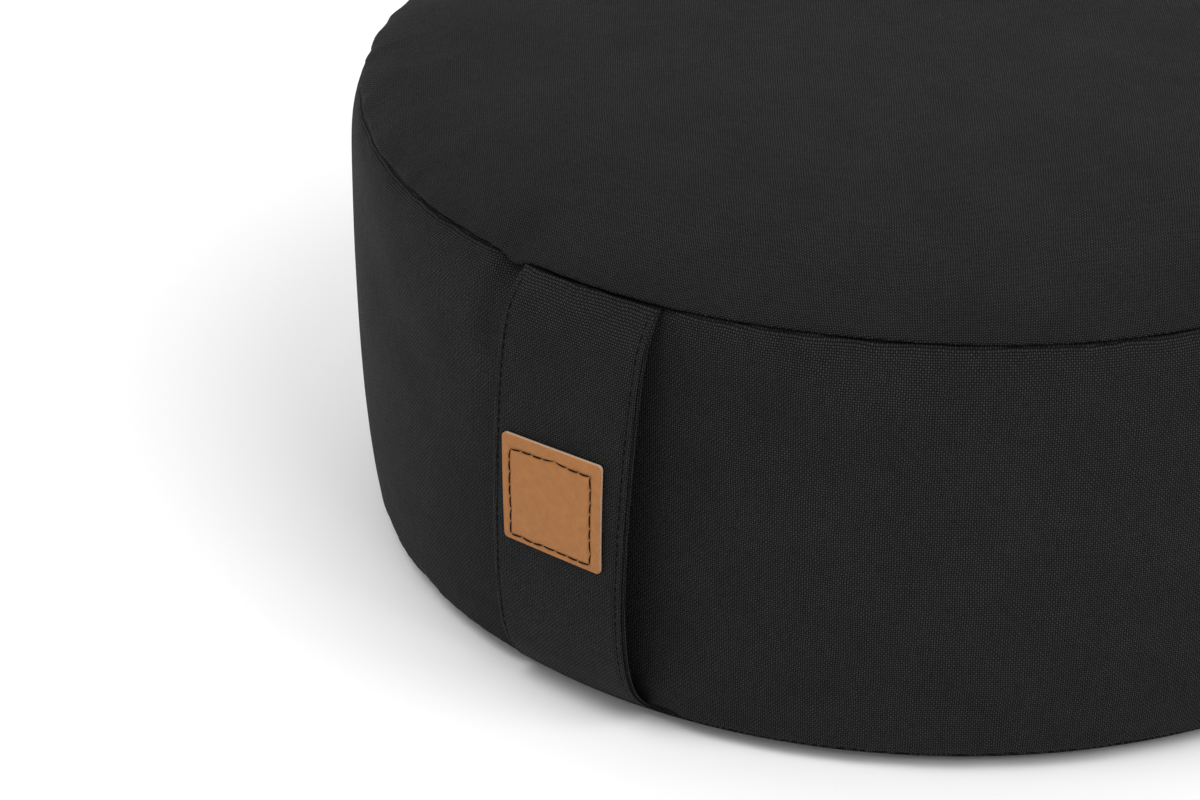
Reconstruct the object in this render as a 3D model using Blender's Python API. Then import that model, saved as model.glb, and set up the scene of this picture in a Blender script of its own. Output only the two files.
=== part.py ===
"""Round meditation cushion: a filled drum of cotton canvas with a crowned top, a flat base and two sewn
rim seams. A wide carry handle of doubled canvas is caught in both seams and stands off the wall, and a
small leather patch is sewn on it. Metres, +Z up, the origin at the centre of the base, the handle
towards -Y."""

import math

import bmesh
import bpy
from mathutils import Matrix, Vector

MM = 0.001

# Cushion: driving sizes.
WALL_RADIUS = 165 * MM
CUSHION_HEIGHT = 148 * MM
UPPER_SEAM_HEIGHT = 126.5 * MM
LOWER_SEAM_HEIGHT = 4.5 * MM
BASE_FLAT_RADIUS = 144 * MM
BASE_RIM_TUCK = 2 * MM

# The wall is fullest at this height, and draws in by these amounts to the two seams.
BELLY_HEIGHT = 89 * MM
UPPER_DRAW = 3.2 * MM
UPPER_DRAW_POWER = 8
LOWER_DRAW = 7.4 * MM
LOWER_DRAW_POWER = 1.8

# Each seam lies in a narrow valley between two lips of cloth.
SEAM_VALLEY_DEPTH = 2.4 * MM
SEAM_LIP_HEIGHT = 1.2 * MM

# The crown is a superellipse between the seam and the middle of the top.
CROWN_ORDER_ACROSS = 3.0
CROWN_ORDER_UP = 1.85

# Soft lumps of the filling. Each is a wave round the cushion: how many swells it has, how far they push
# the belly out, how far they lift the crown, how far they lift the upper seam, and where one swell
# peaks, in degrees from the handle.
SWELLS = (
    {"count": 2, "wall": 0.5 * MM, "crown": 0.8 * MM, "seam": 0.5 * MM, "peak": 75},
    {"count": 3, "wall": 0.5 * MM, "crown": 0.9 * MM, "seam": 0.3 * MM, "peak": 100},
    {"count": 5, "wall": 0.4 * MM, "crown": 0.5 * MM, "seam": 0.3 * MM, "peak": 15},
    {"count": 8, "wall": 0.3 * MM, "crown": 0.4 * MM, "seam": 0.2 * MM, "peak": 25},
)

# Soft folds of the cloth. Each is a trough from one end to the other, given by degrees from the handle
# and height, with its depth and half width.
FOLDS = (
    # The cloth is pinched above and below the seam at the handle's upper left corner.
    {"start": (-8.6, 132 * MM), "end": (-8.2, 124 * MM), "depth": 1.3 * MM, "half": 5 * MM},
    {"start": (-8.4, 124 * MM), "end": (-11, 104 * MM), "depth": 1.2 * MM, "half": 6 * MM},
    # The handle drags the wall down beside its upper right corner.
    {"start": (9.5, 114 * MM), "end": (17, 106 * MM), "depth": 0.8 * MM, "half": 11 * MM},
    # Slack lies slantwise across the wall on either side.
    {"start": (-38, 102 * MM), "end": (-24, 80 * MM), "depth": 0.8 * MM, "half": 14 * MM},
    {"start": (116, 98 * MM), "end": (134, 70 * MM), "depth": 1.0 * MM, "half": 16 * MM},
    {"start": (-154, 56 * MM), "end": (-136, 86 * MM), "depth": 1.0 * MM, "half": 16 * MM},
)

# The wall is pressed flat behind the handle, which makes room for fingers, and has a shallow pocket for
# the handle's end at each seam.
FLAT_DEPTH = 2.0 * MM
FLAT_SOFTNESS = 2 * MM
FLAT_REACH = 90 * MM
FLAT_FADE_POWER = 0.5
POCKET_DEPTH = 1.8 * MM
POCKET_REACH = 12 * MM
POCKET_HALF_WIDTH = 24.5 * MM
POCKET_FADE = 8 * MM

# Handle: a flat strap of doubled canvas. It stands this far off the wall, and it twists: halfway down, its
# right edge stands further off than its left one, by an amount that grows down its length. Its middle
# drops back a little. It bows out quickly below the upper seam, comes back slowly to the lower one, and
# is a little narrower where it is slack.
HANDLE_WIDTH = 47.5 * MM
HANDLE_THICKNESS = 2.4 * MM
HANDLE_STAND = 6.8 * MM
HANDLE_TWIST = 3.6 * MM
HANDLE_TWIST_GROWTH = 6 * MM
HANDLE_MIDDLE_DROP = 1.6 * MM
HANDLE_TOP_BOW_POWER = 8
HANDLE_LOW_BOW_POWER = 5
HANDLE_NARROWING = 0.04
HANDLE_LEAN = 6.6 * MM
HANDLE_ARC_RADIUS = 168 * MM
EDGE_GROOVE = 0.5 * MM

# Patch: a square of leather with rounded corners, which the strap has pulled a little askew: its top is
# carried to the right by this share of its height.
PATCH_WIDTH = 32.8 * MM
PATCH_HEIGHT = 31.6 * MM
PATCH_THICKNESS = 1.2 * MM
PATCH_CORNER = 1.6 * MM
PATCH_BEVEL = 0.35 * MM
PATCH_ACROSS = -0.6 * MM
PATCH_CENTRE_HEIGHT = 67.7 * MM
PATCH_TURN = math.radians(2.4)
PATCH_SKEW = 0.05

CLEARANCE = 0.35 * MM

# Mesh fineness.
COARSE_STEP = math.radians(4)
FINE_STEP = math.radians(1.25)
FINE_HALF_ANGLE = math.radians(17.5)
WALL_ROWS = 15
CROWN_ROWS = 11
SKIRT_ROWS = 4
HANDLE_ROWS = 34
PATCH_RINGS = (0.86, 0.66, 0.44, 0.22)


def clear_scene():
    for old in list(bpy.data.objects):
        bpy.data.objects.remove(old)


def material(name, colour, roughness):
    """A plain Principled material."""
    made = bpy.data.materials.new(name)
    made.use_nodes = True
    shader = made.node_tree.nodes["Principled BSDF"]
    shader.inputs["Base Color"].default_value = (*colour, 1)
    shader.inputs["Roughness"].default_value = roughness
    shader.inputs["Metallic"].default_value = 0
    return made


def add_object(name, builder, finish):
    """Turns a filled bmesh into a named, smooth-shaded object with its finish."""
    mesh = bpy.data.meshes.new(name)
    bmesh.ops.recalc_face_normals(builder, faces=builder.faces)
    builder.to_mesh(mesh)
    builder.free()
    mesh.materials.append(finish)
    mesh.shade_smooth()
    mesh.set_sharp_from_angle(angle=math.radians(50))
    made = bpy.data.objects.new(name, mesh)
    bpy.context.collection.objects.link(made)
    return made


def clamped(share):
    return min(1, max(0, share))


def fade(share):
    """1 at a share of 0, falling to 0 at a share of 1, level at both ends."""
    share = clamped(share)
    return 1 - share * share * (3 - 2 * share)


# Shape of the cushion


def swell(azimuth, what):
    """The filling's unevenness round the cushion, in metres; azimuth 0 is the handle."""
    return sum(
        row[what] * math.cos(row["count"] * (azimuth - math.radians(row["peak"])))
        for row in SWELLS
    )


def fold_depth(azimuth, height):
    """How far the soft folds sink the cloth at that place."""
    depth = 0
    place = Vector((azimuth * WALL_RADIUS, height))
    for fold in FOLDS:
        start = Vector((math.radians(fold["start"][0]) * WALL_RADIUS, fold["start"][1]))
        end = Vector((math.radians(fold["end"][0]) * WALL_RADIUS, fold["end"][1]))
        run = end - start
        along = clamped((place - start).dot(run) / run.length_squared)
        away = (place - start - run * along).length
        depth += fold["depth"] * math.exp(-((away / fold["half"]) ** 2))
    return depth


def upper_seam_height(azimuth):
    return UPPER_SEAM_HEIGHT + swell(azimuth, "seam")


def draw(height, azimuth):
    """How far the bare wall has drawn in from its belly: a high power up to the upper seam, and a
    superellipse down to the lower one."""
    if height > BELLY_HEIGHT:
        share = clamped((height - BELLY_HEIGHT) / (upper_seam_height(azimuth) - BELLY_HEIGHT))
        return UPPER_DRAW * share**UPPER_DRAW_POWER
    share = clamped((height - LOWER_SEAM_HEIGHT) / (BELLY_HEIGHT - LOWER_SEAM_HEIGHT))
    power = LOWER_DRAW_POWER
    return LOWER_DRAW * (1 - (1 - (1 - share) ** power) ** (1 / power))


def between_seams(height, azimuth):
    """0 at both seams and 1 halfway between them, as a sine."""
    top = upper_seam_height(azimuth)
    share = clamped((height - LOWER_SEAM_HEIGHT) / (top - LOWER_SEAM_HEIGHT))
    return math.sin(math.pi * share)


def recess(height, azimuth):
    """How far the handle has pressed the wall in: the flat behind it and the pockets for its ends."""
    across = abs(azimuth) * WALL_RADIUS
    plane = (WALL_RADIUS - FLAT_DEPTH) / max(0.5, math.cos(azimuth))
    past_plane = WALL_RADIUS - plane
    flat = (past_plane + math.hypot(past_plane, FLAT_SOFTNESS)) / 2 * fade(across / FLAT_REACH)
    flat *= between_seams(height, azimuth) ** FLAT_FADE_POWER
    seam_distance = min(upper_seam_height(azimuth) - height, height - LOWER_SEAM_HEIGHT)
    pocket = POCKET_DEPTH * fade(seam_distance / POCKET_REACH)
    return flat + pocket * fade((across - POCKET_HALF_WIDTH) / POCKET_FADE)


def seat_radius(height, azimuth):
    """The radius of the wall with its swells, pressed in behind the handle, before any fold sinks it."""
    bulge = swell(azimuth, "wall") * between_seams(height, azimuth)
    return WALL_RADIUS - draw(height, azimuth) + bulge - recess(height, azimuth)


def wall_radius(height, azimuth):
    return seat_radius(height, azimuth) - fold_depth(azimuth, height)


def crown_point(turn, azimuth):
    """Radius and height on the crown, from the seam at turn 0 to the middle at turn pi / 2."""
    rim = WALL_RADIUS - UPPER_DRAW
    radius = rim * math.cos(turn) ** (2 / CROWN_ORDER_ACROSS)
    seam = upper_seam_height(azimuth)
    height = seam + (CUSHION_HEIGHT - seam) * math.sin(turn) ** (2 / CROWN_ORDER_UP)
    share = radius / rim
    lump = swell(azimuth, "crown") * math.sin(math.pi * share) * share**2
    return radius, height + lump - fold_depth(azimuth, height)


def spaced(rows):
    """Shares from 0 to 1, closer together towards both ends."""
    for row in range(rows + 1):
        share = row / rows
        yield share - 0.55 * math.sin(2 * math.pi * share) / (2 * math.pi)


def cushion_profile(azimuth):
    """Radius and height of each ring, from the flat base out and up to near the middle of the top."""
    base_rim = WALL_RADIUS - LOWER_DRAW - BASE_RIM_TUCK
    skirt_lift = LOWER_SEAM_HEIGHT - SEAM_LIP_HEIGHT
    points = [(BASE_FLAT_RADIUS / 2, 0), (BASE_FLAT_RADIUS, 0)]
    for row in range(1, SKIRT_ROWS + 1):
        share = row / SKIRT_ROWS
        radius = BASE_FLAT_RADIUS + (base_rim - BASE_FLAT_RADIUS) * share
        points.append((radius, skirt_lift * share**2))
    low = LOWER_SEAM_HEIGHT + SEAM_LIP_HEIGHT
    seam = upper_seam_height(azimuth)
    high = seam - SEAM_LIP_HEIGHT
    points.append((wall_radius(low, azimuth) - SEAM_VALLEY_DEPTH, LOWER_SEAM_HEIGHT))
    for share in spaced(WALL_ROWS):
        height = low + (high - low) * share
        points.append((wall_radius(height, azimuth), height))
    points.append((wall_radius(high, azimuth) - SEAM_VALLEY_DEPTH, seam))
    first_turn = 0.06
    last_turn = 1.54
    for row in range(CROWN_ROWS):
        share = row / (CROWN_ROWS - 1)
        points.append(crown_point(first_turn + (last_turn - first_turn) * share, azimuth))
    return points


def azimuths():
    """Angles round the cushion, closer together near the handle."""
    fine = round(2 * FINE_HALF_ANGLE / FINE_STEP)
    rest = 2 * math.pi - 2 * FINE_HALF_ANGLE
    coarse = round(rest / COARSE_STEP)
    angles = [-FINE_HALF_ANGLE + FINE_STEP * step for step in range(fine)]
    angles += [FINE_HALF_ANGLE + rest / coarse * step for step in range(coarse)]
    return [math.remainder(angle, 2 * math.pi) for angle in angles]


def around(radius, height, azimuth):
    """The point at that radius and height; azimuth 0 is -Y and a positive one turns towards +X."""
    return Vector((radius * math.sin(azimuth), -radius * math.cos(azimuth), height))


def bridge(builder, first, second):
    """Faces between two closed rings of vertices."""
    count = len(first)
    for i in range(count):
        j = (i + 1) % count
        builder.faces.new((first[i], first[j], second[j], second[i]))


def fan(builder, ring, centre):
    """Faces from a closed ring of vertices to one in its middle."""
    for i, vertex in enumerate(ring):
        builder.faces.new((vertex, ring[(i + 1) % len(ring)], centre))


def build_cushion(finish):
    """The filled cushion: one closed turned form, base to crown."""
    builder = bmesh.new()
    columns = [(angle, cushion_profile(angle)) for angle in azimuths()]
    rings = [
        [builder.verts.new(around(*profile[row], angle)) for angle, profile in columns]
        for row in range(len(columns[0][1]))
    ]
    for lower, upper in zip(rings, rings[1:]):
        bridge(builder, lower, upper)
    fan(builder, rings[0], builder.verts.new((0, 0, 0)))
    fan(builder, rings[-1], builder.verts.new((0, 0, CUSHION_HEIGHT)))
    return add_object("cushion", builder, finish)


# Shape of the handle


def handle_height(share):
    """Height of the strap at that share of its length, 0 at the upper seam and 1 at the lower one."""
    top = upper_seam_height(0) - SEAM_LIP_HEIGHT - CLEARANCE
    bottom = LOWER_SEAM_HEIGHT + CLEARANCE
    return top + (bottom - top) * share


def handle_bow(share):
    """0 where the strap meets the seams, and nearly 1 along its slack middle."""
    return (1 - (1 - share) ** HANDLE_TOP_BOW_POWER) * (1 - share**HANDLE_LOW_BOW_POWER)


def handle_point(share, across, out):
    """A point of the strap, that far out from its inner face. The inner face lies on the pocket floors
    at the seams, and between them it bows out to its stand from the wall."""
    height = handle_height(share)
    azimuth = (across - HANDLE_LEAN * (share - 0.5)) / HANDLE_ARC_RADIUS
    side = across / (HANDLE_WIDTH / 2)
    twist = HANDLE_TWIST + HANDLE_TWIST_GROWTH * (share - 0.5)
    stand = HANDLE_STAND + twist * side / 2 - HANDLE_MIDDLE_DROP * (1 - side**2)
    seated = seat_radius(height, azimuth) + CLEARANCE
    radius = seated + (WALL_RADIUS + stand - seated) * handle_bow(share)
    return around(radius + out, height, azimuth)


def handle_section():
    """The strap's cross-section, as across and out: two layers with folded edges and a groove between
    the layers along each edge."""
    half = HANDLE_WIDTH / 2
    thick = HANDLE_THICKNESS
    fold = thick / 4
    right = [
        (half - fold, 0),
        (half, fold),
        (half - EDGE_GROOVE, thick / 2),
        (half, thick - fold),
        (half - fold, thick),
    ]
    steps = (0.62, 0.25, -0.25, -0.62)
    outer = [(half * step, thick) for step in steps]
    left = [(-across, out) for across, out in reversed(right)]
    inner = [(-half * step, 0) for step in steps]
    return right + outer + left + inner


def build_handle(finish):
    """The strap: its section carried from the upper seam down to the lower one."""
    builder = bmesh.new()
    section = handle_section()
    rings = []
    for share in spaced(HANDLE_ROWS):
        width = 1 - HANDLE_NARROWING * handle_bow(share)
        places = [handle_point(share, across * width, out) for across, out in section]
        rings.append([builder.verts.new(place) for place in places])
    for upper, lower in zip(rings, rings[1:]):
        bridge(builder, upper, lower)
    builder.faces.new(rings[0])
    builder.faces.new(rings[-1])
    bmesh.ops.triangulate(builder, faces=builder.faces)
    return add_object("handle", builder, finish)


# Shape of the patch


def patch_outline(size_share, inset):
    """A rounded rectangle about the patch's centre, as right and up, shrunk by a share and an inset."""
    half_width = PATCH_WIDTH / 2 - inset - PATCH_CORNER
    half_height = PATCH_HEIGHT / 2 - inset - PATCH_CORNER
    corner_steps = 4
    side_steps = 5
    arcs = []
    for quarter in range(4):
        centre = Vector((half_width * (1, -1, -1, 1)[quarter], half_height * (1, 1, -1, -1)[quarter]))
        for step in range(corner_steps + 1):
            angle = math.pi / 2 * (quarter + step / corner_steps)
            reach = Vector((math.cos(angle), math.sin(angle))) * PATCH_CORNER
            arcs.append((centre + reach) * size_share)
    points = []
    for index, point in enumerate(arcs):
        points.append(point)
        if (index + 1) % (corner_steps + 1) == 0:
            following = arcs[(index + 1) % len(arcs)]
            points += [point.lerp(following, step / side_steps) for step in range(1, side_steps)]
    return points


def patch_point(place, out):
    """A point of the patch, at right and up from its centre, laid on the handle's outer face."""
    turned = Matrix.Rotation(PATCH_TURN, 2) @ place
    length = handle_height(0) - handle_height(1)
    share = (handle_height(0) - PATCH_CENTRE_HEIGHT - turned.y) / length
    across = PATCH_ACROSS + turned.x + PATCH_SKEW * turned.y + HANDLE_LEAN * (share - 0.5)
    return handle_point(share, across, HANDLE_THICKNESS + CLEARANCE + out)


def build_patch(finish):
    """The leather square: rings of its outline across its back, over the bevelled edge and in."""
    builder = bmesh.new()
    thick = PATCH_THICKNESS
    layers = [(share, 0, 0) for share in reversed(PATCH_RINGS)]
    layers += [(1, 0, 0), (1, 0, thick - PATCH_BEVEL), (1, PATCH_BEVEL, thick)]
    layers += [(share, PATCH_BEVEL, thick) for share in PATCH_RINGS]
    rings = [
        [builder.verts.new(patch_point(place, out)) for place in patch_outline(share, inset)]
        for share, inset, out in layers
    ]
    for under, over in zip(rings, rings[1:]):
        bridge(builder, under, over)
    centre = Vector((0, 0))
    fan(builder, rings[0], builder.verts.new(patch_point(centre, 0)))
    fan(builder, rings[-1], builder.verts.new(patch_point(centre, thick)))
    return add_object("patch", builder, finish)


clear_scene()
canvas = material("canvas", (0.016, 0.016, 0.017), 0.92)
leather = material("leather", (0.46, 0.22, 0.075), 0.55)
build_cushion(canvas)
build_handle(canvas)
build_patch(leather)
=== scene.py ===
"""Looks of a round meditation cushion: its filled canvas cover, the carry handle sewn down one side, and
the bare leather patch on it. Everything is in metres, +Z up, with the handle towards -Y and azimuth 0
there, positive towards +X."""

import math

import bpy
import numpy as np
from mathutils import Matrix, Vector


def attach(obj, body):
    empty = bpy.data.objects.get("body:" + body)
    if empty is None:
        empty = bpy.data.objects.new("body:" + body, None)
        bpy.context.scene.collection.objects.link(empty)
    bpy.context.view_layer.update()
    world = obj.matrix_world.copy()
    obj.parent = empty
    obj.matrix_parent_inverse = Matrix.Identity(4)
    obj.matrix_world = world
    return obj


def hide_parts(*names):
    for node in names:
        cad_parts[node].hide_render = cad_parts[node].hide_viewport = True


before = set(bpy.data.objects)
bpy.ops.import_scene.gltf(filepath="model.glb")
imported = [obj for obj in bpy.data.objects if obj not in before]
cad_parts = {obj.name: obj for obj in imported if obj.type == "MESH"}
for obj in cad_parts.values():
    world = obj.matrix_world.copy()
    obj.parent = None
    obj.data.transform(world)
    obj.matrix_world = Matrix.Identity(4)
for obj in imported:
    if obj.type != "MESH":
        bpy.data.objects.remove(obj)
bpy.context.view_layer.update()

# Camera
# A long lens a little over a metre away looks down on the cushion from the right of its handle. It is
# turned off the cushion's middle, so the top and the right of the cushion are cut off by the frame.
MM = 0.001
CAMERA_DISTANCE = 1197.7 * MM
CAMERA_AIM_HEIGHT = 64.5 * MM
CAMERA_AZIMUTH = 32.9
CAMERA_ELEVATION = 25.96
CAMERA_PAN = 4.46
CAMERA_TILT = -1.80
CAMERA_ROLL = 2.47
CAMERA_LENS_MM = 124.2
CAMERA_SENSOR_MM = 36


def turned(*turns):
    """The rotation made by turning about each named axis in order, each in the frame the last one left."""
    result = Matrix.Identity(3)
    for axis, degrees in turns:
        result = result @ Matrix.Rotation(math.radians(degrees), 3, axis)
    return result


def add_camera():
    """Stands off along the line of sight from the aim point, then pans, tilts and rolls where it stands."""
    line_of_sight = turned(("Z", CAMERA_AZIMUTH), ("X", 90 - CAMERA_ELEVATION))
    turn = line_of_sight @ turned(("Y", CAMERA_PAN), ("X", CAMERA_TILT), ("Z", CAMERA_ROLL))
    place = Vector((0, 0, CAMERA_AIM_HEIGHT)) + line_of_sight @ Vector((0, 0, CAMERA_DISTANCE))
    lens = bpy.data.cameras.new("camera")
    lens.sensor_width = CAMERA_SENSOR_MM
    lens.lens = CAMERA_LENS_MM
    camera = bpy.data.objects.new("camera", lens)
    camera.matrix_world = Matrix.Translation(place) @ turn.to_4x4()
    bpy.context.collection.objects.link(camera)
    bpy.context.scene.camera = camera


add_camera()

# Light
# A white studio: even light from all round, a soft box high on the camera's left, a larger one lower on
# its right, and a faint one behind. Azimuth is from the camera, positive to its right.
WORLD_GREY = 1.0
WORLD_STRENGTH = 0.8
SOFT_BOXES = (
    {"name": "key", "azimuth": -50, "elevation": 58, "distance": 1.9, "size": 0.9, "watts": 10},
    {"name": "fill", "azimuth": 42, "elevation": 46, "distance": 2.1, "size": 1.5, "watts": 20},
    {"name": "back", "azimuth": 175, "elevation": 58, "distance": 2.0, "size": 1.4, "watts": 1.5},
)


def add_lights():
    """Each soft box is a disc that faces the aim point from its azimuth, elevation and distance."""
    world = bpy.data.worlds.new("studio")
    world.use_nodes = True
    background = world.node_tree.nodes["Background"]
    background.inputs["Color"].default_value = (WORLD_GREY, WORLD_GREY, WORLD_GREY, 1)
    background.inputs["Strength"].default_value = WORLD_STRENGTH
    bpy.context.scene.world = world
    bpy.context.scene.view_settings.view_transform = "Standard"
    for box in SOFT_BOXES:
        lamp = bpy.data.lights.new(box["name"], "AREA")
        lamp.shape = "DISK"
        lamp.size = box["size"]
        lamp.energy = box["watts"]
        turn = turned(("Z", CAMERA_AZIMUTH + box["azimuth"]), ("X", 90 - box["elevation"]))
        light = bpy.data.objects.new(box["name"], lamp)
        place = Vector((0, 0, CAMERA_AIM_HEIGHT)) + turn @ Vector((0, 0, box["distance"]))
        light.matrix_world = Matrix.Translation(place) @ turn.to_4x4()
        bpy.context.collection.objects.link(light)


add_lights()

# Floor
# A plain white floor far wider than the view. It is not part of the object.
FLOOR_REACH = 6
FLOOR_DROP = 0.1 * MM
FLOOR_COLOUR = (0.92, 0.92, 0.92, 1)
FLOOR_ROUGHNESS = 0.9


def new_material(name, **shader_values):
    """A material with a Principled shader whose constant sockets are set directly."""
    made = bpy.data.materials.new(name)
    made.use_nodes = True
    shader = made.node_tree.nodes["Principled BSDF"]
    for socket, value in shader_values.items():
        shader.inputs[socket.replace("_", " ")].default_value = value
    return made, made.node_tree, shader


def add_floor():
    """One level square, just under the base."""
    mesh = bpy.data.meshes.new("floor")
    square = ((-1, -1), (1, -1), (1, 1), (-1, 1))
    corners = [(x * FLOOR_REACH, y * FLOOR_REACH, -FLOOR_DROP) for x, y in square]
    mesh.from_pydata(corners, [], [(0, 1, 2, 3)])
    paint, _, _ = new_material("floor_paint", Base_Color=FLOOR_COLOUR, Roughness=FLOOR_ROUGHNESS)
    mesh.materials.append(paint)
    floor = bpy.data.objects.new("floor", mesh)
    bpy.context.collection.objects.link(floor)


add_floor()

# Canvas
# The cover and the handle are cut from one heavy cotton canvas, dyed almost black: a plain weave of
# yarns a little over half a millimetre apart, uneven along their length. Shade between the yarns is
# painted into its colour, and its dry face is smoother on top of them.
YARN_PITCH = 0.62 * MM
WARP_TO_WEFT = 1.04
WEFT_RISE = 0.72
YARN_ROUNDNESS = 0.7
YARN_DRIFT = 1.4 * MM
YARN_DRIFT_SCALE = 90
SLUB = 1.2
SLUB_RUN = 0.11
SLUB_SCALE = 1.7
MOTTLE = 0.4
MOTTLE_SCALE = 60
# The dark colour is painted shade between the yarns, and the light one is the colour on top of the yarns.
CANVAS_SHADED_GAPS = (0.001, 0.001, 0.001, 1)
CANVAS_LIGHT = (0.038, 0.038, 0.038, 1)
CANVAS_GAP_SHADE_POWER = 1.9
CANVAS_ROUGHNESS = 0.85
CANVAS_POLISH = 0.4
CANVAS_GLOSS = 0.08
CANVAS_RELIEF = 0.34 * MM


def node(tree, kind, inputs=None, **settings):
    """Adds a node. Its settings are attributes, and each input is a value, or a socket to link."""
    made = tree.nodes.new(kind)
    for name, value in settings.items():
        setattr(made, name, value)
    for name, value in (inputs or {}).items():
        if isinstance(value, bpy.types.NodeSocket):
            tree.links.new(value, made.inputs[name])
        else:
            made.inputs[name].default_value = value
    return made


def new_group(name, inputs, outputs):
    """A shader node group with named sockets, given as name to socket type."""
    group = bpy.data.node_groups.new(name, "ShaderNodeTree")
    for socket, kind in inputs.items():
        group.interface.new_socket(socket, in_out="INPUT", socket_type=kind)
    for socket, kind in outputs.items():
        group.interface.new_socket(socket, in_out="OUTPUT", socket_type=kind)
    entry = group.nodes.new("NodeGroupInput")
    ending = group.nodes.new("NodeGroupOutput")
    return group, entry.outputs, ending.inputs


def maths(tree, operation, *values):
    """The result of one Math node."""
    return node(tree, "ShaderNodeMath", dict(enumerate(values)), operation=operation).outputs[0]


def blend(tree, share, first, second):
    """The first colour at a share of 0, going over evenly to the second one at 1."""
    return node(tree, "ShaderNodeMix", {"Factor": share, 6: first, 7: second}, data_type="RGBA").outputs[2]


def emboss(tree, shader, height, depth, strength=1):
    """Turns the shader's normal by the slope of a height, of which 1 stands for that depth."""
    bump = node(tree, "ShaderNodeBump", {"Strength": strength, "Distance": depth, "Height": height})
    tree.links.new(bump.outputs["Normal"], shader.inputs["Normal"])


def weave_group():
    """Plain weave on a vector in metres. In each square of the grid of yarns either the warp or the weft
    is on top, as on a chessboard. A yarn's section is a sine arch, and it also dips as a sine where it
    passes under its neighbours. The warp, whose yarns run along Y, rises higher than the weft. All of it
    drifts sideways by a soft noise. Each yarn has its own shade, which changes slowly along it."""
    real, vector = "NodeSocketFloat", "NodeSocketVector"
    group, given, result = new_group(
        "plain_weave",
        {"Vector": vector, "Pitch": real, "Slub": real},
        {"Height": real, "Shade": real},
    )
    spots = {"Vector": given["Vector"], "Scale": YARN_DRIFT_SCALE, "Detail": 3}
    drift = node(group, "ShaderNodeTexNoise", spots)
    shift = node(
        group,
        "ShaderNodeVectorMath",
        {0: drift.outputs["Color"], 1: (YARN_DRIFT, YARN_DRIFT, 0), 2: given["Vector"]},
        operation="MULTIPLY_ADD",
    )
    split = node(group, "ShaderNodeSeparateXYZ", {0: shift.outputs[0]})
    yarns = []
    for socket, ratio in (("X", 1), ("Y", WARP_TO_WEFT)):
        pitch = maths(group, "MULTIPLY", given["Pitch"], ratio)
        place = maths(group, "DIVIDE", split.outputs[socket], pitch)
        index = maths(group, "FLOOR", place)
        phase = maths(group, "MULTIPLY", maths(group, "FRACT", place), math.pi)
        arch = maths(group, "SINE", phase)
        yarns.append({"place": place, "index": index, "arch": arch})
    warp, weft = yarns
    parity = maths(group, "MODULO", maths(group, "ADD", warp["index"], weft["index"]), 2)
    over = maths(group, "ABSOLUTE", parity)
    heights = []
    shades = []
    for own, other, rise in ((warp, weft, 1), (weft, warp, WEFT_RISE)):
        dip = maths(group, "MULTIPLY_ADD", other["arch"], 0.5 * rise, 0.5 * rise)
        section = maths(group, "POWER", own["arch"], YARN_ROUNDNESS)
        heights.append(maths(group, "MULTIPLY", section, dip))
        run = maths(group, "MULTIPLY", other["place"], SLUB_RUN)
        along = node(group, "ShaderNodeCombineXYZ", {"X": own["index"], "Y": run}).outputs[0]
        tone = node(group, "ShaderNodeTexNoise", {"Vector": along, "Scale": SLUB_SCALE, "Detail": 1})
        shades.append(tone.outputs["Fac"])
    height = node(group, "ShaderNodeMix", {"Factor": over, "A": heights[0], "B": heights[1]})
    tone = node(group, "ShaderNodeMix", {"Factor": over, "A": shades[0], "B": shades[1]})
    centred = maths(group, "SUBTRACT", tone.outputs["Result"], 0.5)
    slub = maths(group, "MULTIPLY_ADD", centred, given["Slub"], 1)
    group.links.new(height.outputs["Result"], result["Height"])
    group.links.new(slub, result["Shade"])
    return group


plain_weave = weave_group()


def canvas_material(name):
    """Canvas on the piece's own UV map in metres. Its colour goes from dark to light by a power of the
    weave's height, which paints shade between the yarns, times the yarn's own tone and a soft mottle,
    and its roughness falls with the same."""
    finish, tree, shader = new_material(name, Specular_IOR_Level=CANVAS_GLOSS)
    cloth = node(tree, "ShaderNodeUVMap", uv_map="cloth").outputs[0]
    weave = node(tree, "ShaderNodeGroup", node_tree=plain_weave)
    tree.links.new(cloth, weave.inputs["Vector"])
    weave.inputs["Pitch"].default_value = YARN_PITCH
    weave.inputs["Slub"].default_value = SLUB
    place = node(tree, "ShaderNodeTexCoord").outputs["Object"]
    cloud = node(tree, "ShaderNodeTexNoise", {"Vector": place, "Scale": MOTTLE_SCALE, "Detail": 2})
    mottle = maths(tree, "MULTIPLY_ADD", cloud.outputs["Fac"], MOTTLE, 1 - MOTTLE / 2)
    shade = maths(tree, "MULTIPLY", weave.outputs["Shade"], mottle)
    # Painted shade: the colour darkens between the yarns by a power of the weave's height.
    gap_shading = maths(tree, "POWER", weave.outputs["Height"], CANVAS_GAP_SHADE_POWER)
    shading_and_tone = maths(tree, "MULTIPLY", gap_shading, shade)
    tree.links.new(blend(tree, shading_and_tone, CANVAS_SHADED_GAPS, CANVAS_LIGHT), shader.inputs["Base Color"])
    dull = maths(tree, "MULTIPLY_ADD", shading_and_tone, -CANVAS_POLISH, CANVAS_ROUGHNESS)
    tree.links.new(dull, shader.inputs["Roughness"])
    emboss(tree, shader, weave.outputs["Height"], CANVAS_RELIEF)
    return finish


cover_canvas = canvas_material("cover_canvas")
handle_canvas = canvas_material("handle_canvas")

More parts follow.
